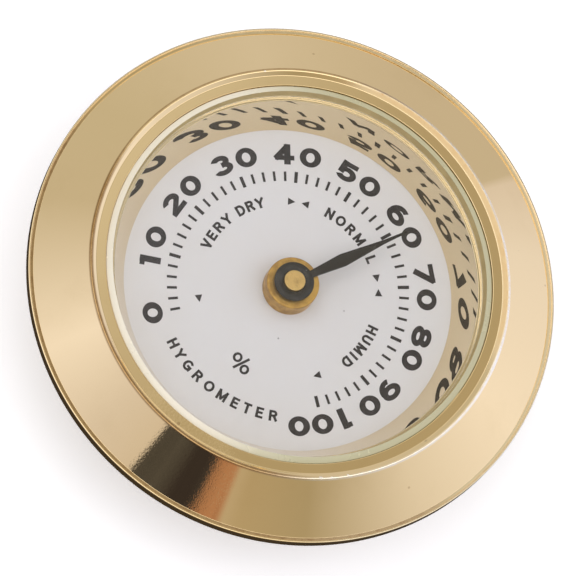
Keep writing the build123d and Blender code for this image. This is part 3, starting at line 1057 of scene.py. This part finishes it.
LETTERS: dict[str, Glyph] = {
    "A": Glyph(0.92, (Bar(0.0, 0.0, 0.46, 1.0), Bar(0.46, 1.0, 0.92, 0.0), level(0.30, 0.76, 0.16))),
    "D": Glyph(0.86, (stem(0.0), level(1.0, 0.36), level(0.0, 0.36), Bow(0.36, 0.5, 0.5, 0.5, -90.0, 90.0))),
    "E": Glyph(0.68, (stem(0.0), level(1.0, 0.68), level(0.52, 0.60), level(0.0, 0.68))),
    "G": Glyph(
        0.98, (Bow(0.5, 0.5, 0.5, 0.5, 42.0, 330.0), level(0.44, 0.96, 0.56), Bar(0.96, 0.44, 0.96, 0.08))
    ),
    "H": Glyph(0.80, (stem(0.0), stem(0.80), level(0.52, 0.80))),
    "I": Glyph(0.0, (stem(0.0),)),
    "L": Glyph(0.62, (stem(0.0), level(0.0, 0.62))),
    "M": Glyph(1.02, (stem(0.0), Bar(0.0, 1.0, 0.51, 0.10), Bar(0.51, 0.10, 1.02, 1.0), stem(1.02))),
    "N": Glyph(0.82, (stem(0.0), Bar(0.0, 1.0, 0.82, 0.0), stem(0.82))),
    "O": Glyph(1.04, (Bow(0.52, 0.5, 0.52, 0.5),)),
    "R": Glyph(
        0.80,
        (
            stem(0.0), level(1.0, 0.44), level(0.50, 0.44), Bow(0.44, 0.75, 0.30, 0.25, -90.0, 90.0),
            Bar(0.46, 0.50, 0.78, 0.0),
        ),
    ),
    "T": Glyph(0.80, (stem(0.40), level(1.0, 0.80))),
    "U": Glyph(
        0.80,
        (Bar(0.0, 0.36, 0.0, 1.0), Bar(0.80, 0.36, 0.80, 1.0), Bow(0.40, 0.38, 0.40, 0.38, 180.0, 360.0)),
    ),
    "V": Glyph(0.88, (Bar(0.0, 1.0, 0.44, 0.0), Bar(0.44, 0.0, 0.88, 1.0))),
    "Y": Glyph(0.88, (Bar(0.0, 1.0, 0.44, 0.46), Bar(0.88, 1.0, 0.44, 0.46), Bar(0.44, 0.0, 0.44, 0.46))),
    "%": Glyph(1.5, (Bar(1.10, 1.0, 0.44, 0.0), Bow(0.28, 0.73, 0.28, 0.27), Bow(1.22, 0.25, 0.28, 0.27))),
}


@dataclass(frozen=True)
class Printer:
    """Lays inked strokes on the dial's face, each a thin closed band of ink."""

    face_z: float
    ink_thick: float = 0.012
    ink_sink: float = 0.002
    layer_step: float = 0.001
    bow_points: int = 37
    bar_reach: float = 0.45
    arrow_half: float = 0.52
    arrow_tip: float = 0.012

    def band(self, left: np.ndarray, right: np.ndarray, layer: int, closed: bool = False) -> Shell:
        """Print one band, a hair higher for each layer so that crossing strokes don't coincide."""
        top = self.face_z + self.ink_thick + self.layer_step * layer
        return swept_band(left, right, self.face_z - self.ink_sink, top, closed)

    @staticmethod
    def on_dial(flat: np.ndarray, direction: float, radius: float, facing: Facing) -> np.ndarray:
        """Turn a glyph's own x and y on to the dial.

        With u the direction outwards and t the direction to the reader's right, the point is
        (radius + up * y) u + x t, where up is +1 or -1 for the way that the tops face.

        Args:
            flat: points of the glyph, x along the line of lettering from its middle, y up.
            direction: the glyph's direction on the dial.
            radius: distance of its foot from the dial's centre.
            facing: the way its top points.

        Returns:
            Points on the dial.
        """
        turn = radians(direction)
        outward = np.array([cos(turn), sin(turn)]) * facing.value
        right = np.array([outward[1], -outward[0]])
        middle = np.array([cos(turn), sin(turn)]) * radius
        return middle + flat[:, 1:2] * outward + flat[:, 0:1] * right

    def stroke(
        self, line: Bar | Bow, nib: Nib, scale: tuple[float, float]
    ) -> tuple[np.ndarray, np.ndarray, bool]:
        """Work out the two edges of a stroke round its middle line.

        A bar is as wide as its nib across its run and reaches a little past each end. A bow lies
        between two ellipses that share its centre, one half a nib larger and one half a nib smaller.

        Args:
            line: the stroke's middle line in the unit box.
            nib: stroke widths in millimetres.
            scale: millimetres for one unit, along and up.

        Returns:
            Left edge, right edge, and whether the stroke is a closed ring.
        """
        if isinstance(line, Bar):
            ends = np.array([[line.x0, line.y0], [line.x1, line.y1]]) * scale
            run = ends[1] - ends[0]
            width = nib.across(*run)
            unit = run / np.linalg.norm(run)
            ends = ends + np.array([[-self.bar_reach], [self.bar_reach]]) * width * unit
            side = np.array([-unit[1], unit[0]]) * width / 2
            return ends + side, ends - side, False
        closed = abs(line.end - line.start) >= 360.0
        sweep = np.radians(np.linspace(line.start, line.end, self.bow_points))[:, None]
        sweep = sweep[:-1] if closed else sweep
        round_line = np.hstack([np.cos(sweep), np.sin(sweep)])
        middle = np.array([line.x, line.y]) * scale
        size = np.array([line.half_width, line.half_height]) * scale
        half = np.array([nib.upright, nib.level]) / 2
        inner, outer = middle + round_line * (size - half), middle + round_line * (size + half)
        return (inner, outer, closed) if line.end > line.start else (outer, inner, closed)

    def glyph(
        self, drawn: Glyph, nib: Nib, height: float, stretch: float, direction: float, radius: float,
        facing: Facing,
    ) -> list[Shell]:
        """Print one character.

        Args:
            drawn: the character.
            nib: its stroke widths.
            height: its full height.
            stretch: millimetres for one unit of width.
            direction: its direction on the dial.
            radius: distance of its foot from the centre.
            facing: the way its top points.

        Returns:
            One band of ink for each stroke.
        """
        scale = (stretch, height - nib.level)
        shift = np.array([-drawn.width * stretch / 2, nib.level / 2])
        bands = []
        for layer, line in enumerate(drawn.strokes):
            left, right, closed = self.stroke(line, nib, scale)
            left = self.on_dial(left + shift, direction, radius, facing)
            right = self.on_dial(right + shift, direction, radius, facing)
            bands.append(self.band(left, right, layer, closed))
        return bands

    def mark(self, direction: float, inner: float, outer: float, width: float) -> Shell:
        """Print one straight mark of the scale along its own direction."""
        flat = np.array([[-width / 2, 0.0], [-width / 2, outer - inner]])
        left = self.on_dial(flat, direction, inner, Facing.OUTWARDS)
        right = self.on_dial(flat * [-1, 1], direction, inner, Facing.OUTWARDS)
        return self.band(left, right, 0)

    def arrow(self, direction: float, radius: float, size: float, onward: bool) -> Shell:
        """Print one small triangle that points along the scale, onward or back."""
        along = np.array([-size / 2, size / 2]) * (1.0 if onward else -1.0)
        half = np.array([size * self.arrow_half, self.arrow_tip])
        left = self.on_dial(np.stack([along, half], axis=1), direction, radius, Facing.OUTWARDS)
        right = self.on_dial(np.stack([along, -half], axis=1), direction, radius, Facing.OUTWARDS)
        return self.band(left, right, 0)


@dataclass(frozen=True)
class Word:
    """A word printed on the dial: its letters' directions, foot radius, height and facing."""

    letters: str
    directions: tuple[float, ...]
    foot: float
    height: float
    facing: Facing = Facing.OUTWARDS


@dataclass
class Dial:
    """The white dial plate and everything printed on it."""

    start: float = 225.0
    sweep: float = 270.0
    step: int = 2
    fine_mark: tuple[float, float, float] = (9.55, 10.40, 0.215)
    bold_mark: tuple[float, float, float] = (9.47, 10.45, 0.285)
    figure_foot: float = 11.08
    figure_height: float = 1.72
    figure_width: float = 1.86
    figure_pitch: tuple[float, ...] = (0.0, 10.8, 9.8)
    figure_nib: Nib = Nib(0.56, 0.42)
    letter_nib: Nib = Nib(0.22, 0.20)
    letter_stretch: float = 0.86
    words: tuple[Word, ...] = (
        Word("VERYDRY", (184.6, 177.9, 170.7, 163.4, 152.6, 145.8, 139.2), 7.35, 0.93),
        Word("NORMAL", (93.5, 85.4, 77.4, 69.2, 61.6, 54.6), 7.35, 0.93),
        Word("HUMID", (7.6, 0.6, -7.2, -13.4, -19.4), 7.35, 0.93),
        Word(
            "HYGROMETER",
            (239.9, 245.4, 251.3, 257.4, 263.9, 270.6, 276.9, 282.5, 288.2, 294.2),
            11.70, 0.95, Facing.INWARDS,
        ),
        Word("%", (270.0,), 8.62, 1.45, Facing.INWARDS),
    )
    arrows: tuple[tuple[float, bool], ...] = (
        (221.0, False), (118.8, True), (110.0, False), (42.2, True), (32.8, False), (-40.8, True),
    )
    arrow_radius: float = 7.77
    arrow_size: float = 0.62
    paint: Finish = DialPaint()
    ink: Finish = Ink()

    def direction(self, value: float) -> float:
        """Give the direction of a value on the scale."""
        return self.start - self.sweep * value / 100

    def scale_marks(self, printer: Printer) -> list[Shell]:
        """Print a mark for every second per cent, bolder at the tens above 0."""
        marks = []
        for value in range(0, 101, self.step):
            size = self.bold_mark if value and value % 10 == 0 else self.fine_mark
            marks.append(printer.mark(self.direction(value), *size))
        return marks

    def figures(self, printer: Printer) -> list[Shell]:
        """Print the numbers 0 to 100, each figure turned to its own direction."""
        bands: list[Shell] = []
        stretch = self.figure_width - self.figure_nib.upright
        for value in range(0, 101, 10):
            text = str(value)
            for place, figure in enumerate(text):
                offset = ((len(text) - 1) / 2 - place) * self.figure_pitch[len(text) - 1]
                bands += printer.glyph(
                    FIGURES[figure], self.figure_nib, self.figure_height, stretch,
                    self.direction(value) + offset, self.figure_foot, Facing.OUTWARDS,
                )
        return bands

    def lettering(self, printer: Printer) -> list[Shell]:
        """Print the words and the per cent sign."""
        bands: list[Shell] = []
        for word in self.words:
            for letter, direction in zip(word.letters, word.directions):
                stretch = (word.height - self.letter_nib.level) * self.letter_stretch
                bands += printer.glyph(
                    LETTERS[letter], self.letter_nib, word.height, stretch, direction, word.foot, word.facing
                )
        return bands

    def build(self) -> list[bpy.types.Object]:
        """Dress the plate and print the scale, figures, words and arrows."""
        self.paint.dress_nodes("dial_plate")
        printer = Printer(reach_of("dial_plate")[2])
        size = self.arrow_size
        arrows = [printer.arrow(turn, self.arrow_radius, size, onward) for turn, onward in self.arrows]
        printed = {
            "print_marks": self.scale_marks(printer),
            "print_figures": self.figures(printer),
            "print_words": self.lettering(printer),
            "print_arrows": arrows,
        }
        made = [piece(name, shells, Body.CASE) for name, shells in printed.items()]
        self.ink.dress(*made)
        return made


# ------------------------------------------------------------------------------ bush and pointer


@dataclass
class CentreBush:
    """The tall brass bush in the middle of the dial, with the nut behind it and the spindle in it."""

    shank: float = 1.5
    bore: float = 0.94
    break_edge: float = 0.12
    around: int = 180
    brass: Finish = Brass()
    pin: Finish = Brass("spindle_brass", (0.70, 0.47, 0.17), roughness=0.3, stain=0.42)

    def build(self) -> list[bpy.types.Object]:
        """Turn the bush and dress the nut and the spindle."""
        radius, low, high = reach_of("hub_bush")
        seat = reach_of("dial_plate")[2]
        corners = [
            (self.bore, low, 0.0),
            (self.shank, low, 0.0),
            (self.shank, seat, 0.0),
            (radius, seat, 0.06),
            (radius, high, self.break_edge),
            (self.bore, high, 0.04),
        ]
        shell = turned(rounded(corners), self.around)
        bush = piece("centre_bush", [shell], Body.CASE, "hub_bush")
        self.brass.dress(bush)
        self.brass.dress_nodes("hub_nut")
        self.pin.dress_nodes("spindle")
        return [bush]


@dataclass
class Pointer:
    """The black lance pointer with its ring."""

    reading: float = 61.6
    length: float = 11.0
    neck: float = 0.56
    widest: float = 1.14
    widest_at: float = 4.75
    slim: float = 0.36
    slim_at: float = 8.8
    tip: float = 0.18
    tip_round: float = 0.12
    root: float = 1.3
    eye_bore: float = 1.26
    boss: float = 1.24
    bore: float = 0.92
    dome_drop: float = 0.14
    stations: int = 90
    section: int = 16
    paint: Finish = PointerPaint()

    def lance(self, direction: float, low: float, high: float) -> Shell:
        """Carry a pillow-shaped section along the pointer.

        The half width follows straight tapers from the neck to the widest place, on to the slim
        outer part and to the tip. The section at half width w and half height h is
        (w c |c|^-0.5, h s |s|^-0.35) for cosine c and sine s round it, so that its sides are nearly
        upright and its face is gently crowned.

        Args:
            direction: where the pointer points.
            low: height of its underside.
            high: height of its upper side.

        Returns:
            The blade's closed surface.
        """
        along = np.linspace(self.root, self.length, self.stations)
        places = [self.root, self.widest_at, self.slim_at, self.length]
        half = np.interp(along, places, [self.neck, self.widest, self.slim, self.tip]) / 2
        half = half * np.clip((self.length - along) / self.tip_round + 0.25, 0.0, 1.0)
        turn = np.linspace(0.0, 2 * pi, self.section, endpoint=False)
        side = np.sign(np.cos(turn)) * np.abs(np.cos(turn)) ** 0.5
        rise = np.sign(np.sin(turn)) * np.abs(np.sin(turn)) ** 0.65
        middle, thick = (low + high) / 2, (high - low) / 2
        x, y = along[:, None], half[:, None] * side[None, :]
        z = np.broadcast_to(middle + thick * rise, y.shape)
        c, s = cos(radians(direction)), sin(radians(direction))
        points = np.stack([c * x - s * y, s * x + c * y, z], axis=-1).reshape(-1, 3)
        faces = lattice(self.stations, self.section, False, True)
        ring, last = np.arange(self.section // 2 - 1), self.section - 1
        cap = np.stack([ring, ring + 1, last - 1 - ring, last - ring], axis=1)
        return Shell(points, np.vstack([faces, cap, cap + (self.stations - 1) * self.section]))

    def build(self) -> list[bpy.types.Object]:
        """Make the blade with its eye, and the ring pressed on the spindle."""
        ring_r, _, ring_top = reach_of("pointer_collar")
        low, high = (value[2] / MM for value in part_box("pointer_blade"))
        rim = ring_r - 0.06
        eye = [(self.eye_bore, low, 0.0), (rim, low, 0.03), (rim, high, 0.03), (self.eye_bore, high, 0.0)]
        shells = [self.lance(Dial().direction(self.reading), low, high), turned(rounded(eye, steps=4), 96)]
        blade = piece("pointer_lance", shells, Body.POINTER, "pointer_blade")
        corners = [
            (self.bore, low, 0.0),
            (self.boss, low, 0.0),
            (self.boss, high, 0.0),
            (ring_r, high, 0.0),
            (ring_r, high + (ring_top - high) * 0.45, 0.08),
            ((ring_r + self.bore) / 2, ring_top, 0.25),
            (self.bore, ring_top - self.dome_drop, 0.06),
        ]
        shell = turned(rounded(corners, steps=8), 144)
        ring = piece("pointer_ring", [shell], Body.POINTER, "pointer_collar")
        self.paint.dress(blade, ring)
        Plastic().dress_nodes("thrust_washer")
        return [blade, ring]


# --------------------------------------------------------------------------- drum and movement


@dataclass
class Drum:
    """The vented drum behind the flange, and the split ring that holds the dial up."""

    satin: Finish = Gilt(
        "gilt_satin", (0.78, 0.60, 0.32), (0.60, 0.43, 0.20), 0.26, line_pitch=0.11, line_depth=0.004,
        tarnish=0.5,
    )
    spring: Finish = Steel("spring_steel", (0.30, 0.33, 0.40), (0.16, 0.17, 0.22))

    def build(self) -> list[str]:
        """Dress the drum and the snap ring."""
        self.satin.dress_nodes("case_cup")
        self.spring.dress_nodes("snap_ring")
        return ["case_cup", "snap_ring"]


@dataclass
class Movement:
    """The works between dial and back: plates, pillars, adjuster, lever and the two-layer coil."""

    sheet: Finish = Brass("sheet_brass", roughness=0.3, stain=0.4, rolled=True)
    rod: Finish = Brass("rod_brass", stain=0.42)
    screw: Finish = Steel()
    strip: Finish = Steel("strip_steel", (0.66, 0.64, 0.60), (0.48, 0.46, 0.42))
    film: Finish = Plastic("moisture_film", (0.62, 0.52, 0.34), (0.48, 0.38, 0.22))

    def build(self) -> list[str]:
        """Dress every part of the works."""
        dressed = {
            self.sheet: ("top_plate", "rear_plate", "regulator_lever"),
            self.strip: ("friction_washer", "coil_metal_strip"),
            self.rod: ("pillars", "adjuster", "coil_stud", "coil_collet"),
            self.screw: ("pillar_screws",),
            self.film: ("coil_moisture_film",),
        }
        for finish, nodes in dressed.items():
            finish.dress_nodes(*nodes)
        return [node for nodes in dressed.values() for node in nodes]


# --------------------------------------------------------------------------------------- studio


def heading(azimuth: float, elevation: float) -> Vector:
    """Give the unit vector from the table towards an azimuth and an elevation."""
    turn, lift = radians(azimuth), radians(elevation)
    return Vector((sin(turn) * cos(lift), -cos(turn) * cos(lift), sin(lift)))


@dataclass(frozen=True)
class Flag:
    """A dark or tinted card before the wall: azimuths, elevations, softness of its sides, light, mottling."""

    start: float
    end: float
    low: float
    high: float
    soft: float
    light: Colour
    mottle: float
    level_soft: float = 3.0

    def shade(self, bench: Bench, look: Socket) -> Socket:
        """Give the card's light, mottled like cloth."""
        cloth = bench.linear(bench.noise(look, 60.0, 4.0, 0.7), 2 * self.mottle, 1.0 - self.mottle)
        feeds = {0: self.light, "Scale": cloth}
        return bench.place("ShaderNodeVectorMath", feeds, operation="SCALE").outputs[0]

    def cover(self, bench: Bench, azimuth: Socket, rise: Socket) -> Socket:
        """Give how much the card covers a direction.

        Args:
            bench: the bench to wire on.
            azimuth: the direction's azimuth in radians.
            rise: the sine of its elevation.

        Returns:
            1 behind the card, 0 beside it.
        """
        soft, edge = radians(self.soft) / 2, self.level_soft / 2
        start, end = radians(self.start), radians(self.end)
        after = bench.spread(azimuth, start - soft, start + soft)
        before = bench.spread(azimuth, end - soft, end + soft, 1.0, 0.0)
        above = bench.spread(rise, sin(radians(self.low - edge)), sin(radians(self.low + edge)))
        below = bench.spread(rise, sin(radians(self.high - edge)), sin(radians(self.high + edge)), 1.0, 0.0)
        return bench.times(bench.times(after, before), bench.times(above, below))


@dataclass
class Studio:
    """A pale table in a light tent, and the camera over it.

    Azimuths count from the camera's side of the table, -Y, towards the right-hand side, +X. The
    walls are given by their light at each azimuth where it bends or breaks.
    """

    azimuth: float = -4.186
    elevation: float = 67.579
    roll: float = 37.117
    distance: float = 498.68
    lens: float = 373.18
    aim_lift: float = 0.835
    aim_shift: tuple[float, float, float] = (-0.092, -0.079, -0.035)
    table_radius: float = 4000.0
    table_glow: float = 0.35
    table_drop: float = 0.05
    table_under: tuple[float, float] = (16.5, 17.5)
    table_dark: tuple[float, float] = (45.0, 110.0)
    walls: tuple[tuple[float, Colour], ...] = (
        (-180.0, (0.61, 0.585, 0.575)),
        (-169.0, (0.64, 0.62, 0.61)),
        (-155.0, (0.69, 0.68, 0.70)),
        (-123.0, (0.60, 0.585, 0.555)),
        (-98.0, (0.61, 0.59, 0.57)),
        (-56.0, (0.97, 0.99, 1.185)),
        (-28.0, (0.745, 0.735, 0.84)),
        (14.0, (0.62, 0.56, 0.52)),
        (29.0, (0.49, 0.43, 0.335)),
        (50.0, (0.44, 0.40, 0.32)),
        (83.0, (0.79, 0.79, 0.88)),
        (113.0, (0.99, 1.01, 1.21)),
        (146.0, (0.88, 0.90, 1.09)),
        (159.65, (0.75, 0.74, 0.85)),
        (160.35, (0.605, 0.585, 0.575)),
        (179.65, (0.61, 0.585, 0.575)),
    )
    flags: tuple[Flag, ...] = (
        Flag(13.0, 23.0, 35.0, 48.0, 3.4, (0.46, 0.25, 0.165), 0.3),
        Flag(-9.8, 14.2, 35.0, 48.0, 1.2, (0.082, 0.080, 0.086), 0.9),
        Flag(3.0, 13.8, 35.0, 48.0, 7.0, (0.042, 0.036, 0.040), 0.4),
    )
    roof: Colour = (1.75, 1.73, 1.76)
    roof_edge: tuple[float, float] = (50.0, 60.0)
    shade_direction: tuple[float, float] = (174.0, 67.0)
    shade_left: Colour = (0.72, 0.70, 0.66)
    shade_right: Colour = (0.47, 0.425, 0.335)
    shade_edge: tuple[float, float] = (21.0, 13.0)

    def tent(self) -> None:
        """Light the scene from a tent of cards round the table, a bright roof and one shaded panel in it."""
        world = bpy.data.worlds.new("light_tent")
        world.use_nodes = True
        bpy.context.scene.world = world
        bench = Bench(world.node_tree)
        look = bench.place("ShaderNodeTexCoord").outputs["Generated"]
        x, y, z = bench.parts(look)
        azimuth = bench.math("ARCTAN2", x, bench.times(y, -1.0))
        walls = bench.place("ShaderNodeValToRGB", {0: bench.linear(azimuth, 0.5 / pi, 0.5)})
        ramp = walls.color_ramp
        for index, (angle, colour) in enumerate(self.walls):
            spot = (angle + 180.0) / 360.0
            stop = ramp.elements[index] if index < 2 else ramp.elements.new(spot)
            stop.position = spot
            stop.color = (*colour, 1.0)
        roof_share = bench.spread(z, *(sin(radians(edge)) for edge in self.roof_edge))
        light = bench.tint(roof_share, walls.outputs[0], self.roof)
        near = bench.vector("DOT_PRODUCT", look, tuple(heading(*self.shade_direction)))
        shade_share = bench.spread(near, *(cos(radians(edge)) for edge in self.shade_edge))
        shade = bench.tint(bench.spread(x, -0.02, 0.04), self.shade_left, self.shade_right)
        light = bench.tint(shade_share, light, shade)
        for flag in self.flags:
            light = bench.tint(flag.cover(bench, azimuth, z), light, flag.shade(bench, look))
        light = bench.tint(bench.ray("Is Camera Ray"), light, (1.0, 1.0, 1.0))
        shine = bench.place("ShaderNodeBackground", {0: light, 1: 1.0}).outputs[0]
        bench.place("ShaderNodeOutputWorld", {0: shine})

    def table(self) -> None:
        """Lay a plain pale table top under the object.

        Reflections see it darken close round the object and give way to the tent further out and
        under the drum. Seen from below it is clear, so that the flat back shows.
        """
        t = np.linspace(0.0, 2 * pi, 96, endpoint=False)
        points = np.stack([np.cos(t), np.sin(t), np.zeros_like(t)], axis=1) * self.table_radius * MM
        points[:, 2] = -self.table_drop * MM
        mesh = bpy.data.meshes.new("table_top")
        mesh.from_pydata(points, [], [list(range(96))])
        top = bpy.data.objects.new("table_top", mesh)
        bpy.context.scene.collection.objects.link(top)
        material = bpy.data.materials.new("pale_table")
        material.use_nodes = True
        bench = Bench(material.node_tree)
        place = bench.place("ShaderNodeTexCoord").outputs["Object"]
        pale = bench.tint(bench.noise(place, 900.0, 3.0), (0.97, 0.97, 0.97), (0.99, 0.99, 0.99))
        matt = bench.place("ShaderNodeBsdfDiffuse", {0: pale}).outputs[0]
        glow = bench.place("ShaderNodeEmission", {0: (1.0, 1.0, 1.0, 1.0), 1: self.table_glow}).outputs[0]
        plain = bench.place("ShaderNodeAddShader", {0: matt, 1: glow}).outputs[0]
        dark = bench.place("ShaderNodeEmission", {0: (0.05, 0.04, 0.03, 1.0), 1: 1.0}).outputs[0]
        clear = bench.place("ShaderNodeBsdfTransparent").outputs[0]
        away = bench.vector("LENGTH", place)
        beyond = bench.spread(away, *(radius * MM for radius in self.table_dark))
        beneath = bench.spread(away, *(radius * MM for radius in self.table_under), 1.0, 0.0)
        edge = bench.math("MAXIMUM", beyond, beneath)
        both = bench.mixed(bench.ray("Is Glossy Ray"), plain, bench.mixed(edge, dark, clear))
        under = bench.place("ShaderNodeNewGeometry").outputs["Backfacing"]
        bench.place("ShaderNodeOutputMaterial", {0: bench.mixed(under, both, clear)})
        top.data.materials.append(material)

    def camera(self) -> None:
        """Stand the camera at its azimuth and elevation, aimed at the dial and rolled."""
        turn, roll = radians(self.azimuth), radians(self.roll)
        back = heading(self.azimuth, self.elevation)
        across = Vector((cos(turn), sin(turn), 0.0))
        upright = back.cross(across)
        right = across * cos(roll) + upright * sin(roll)
        up = upright * cos(roll) - across * sin(roll)
        aim = Vector((0.0, 0.0, reach_of("dial_plate")[2] + self.aim_lift)) + Vector(self.aim_shift)
        eye = (aim + back * self.distance) * MM
        data = bpy.data.cameras.new("camera")
        data.lens = self.lens
        data.sensor_width = 36.0
        data.clip_start = 0.01
        data.clip_end = 50.0
        view = bpy.data.objects.new("camera", data)
        bpy.context.scene.collection.objects.link(view)
        axes = Matrix((right, up, back)).transposed().to_4x4()
        view.matrix_world = Matrix.Translation(eye) @ axes
        bpy.context.scene.camera = view

    def build(self) -> None:
        """Set up table, tent and camera."""
        bpy.context.scene.view_settings.view_transform = "Standard"
        self.table()
        self.tent()
        self.camera()


def main() -> None:
    """Build the studio and every sub-assembly, and report each."""
    logging.basicConfig(level=logging.INFO, format="%(name)s: %(message)s")
    Studio().build()
    for part in (Drum(), Movement(), Bezel(), Reflector(), Dial(), CentreBush(), Pointer(), Window()):
        made = part.build()
        names = [item if isinstance(item, str) else item.name for item in made]
        log.info("%s: %s", type(part).__name__, ", ".join(names))


if __name__ == "__main__":
    main()
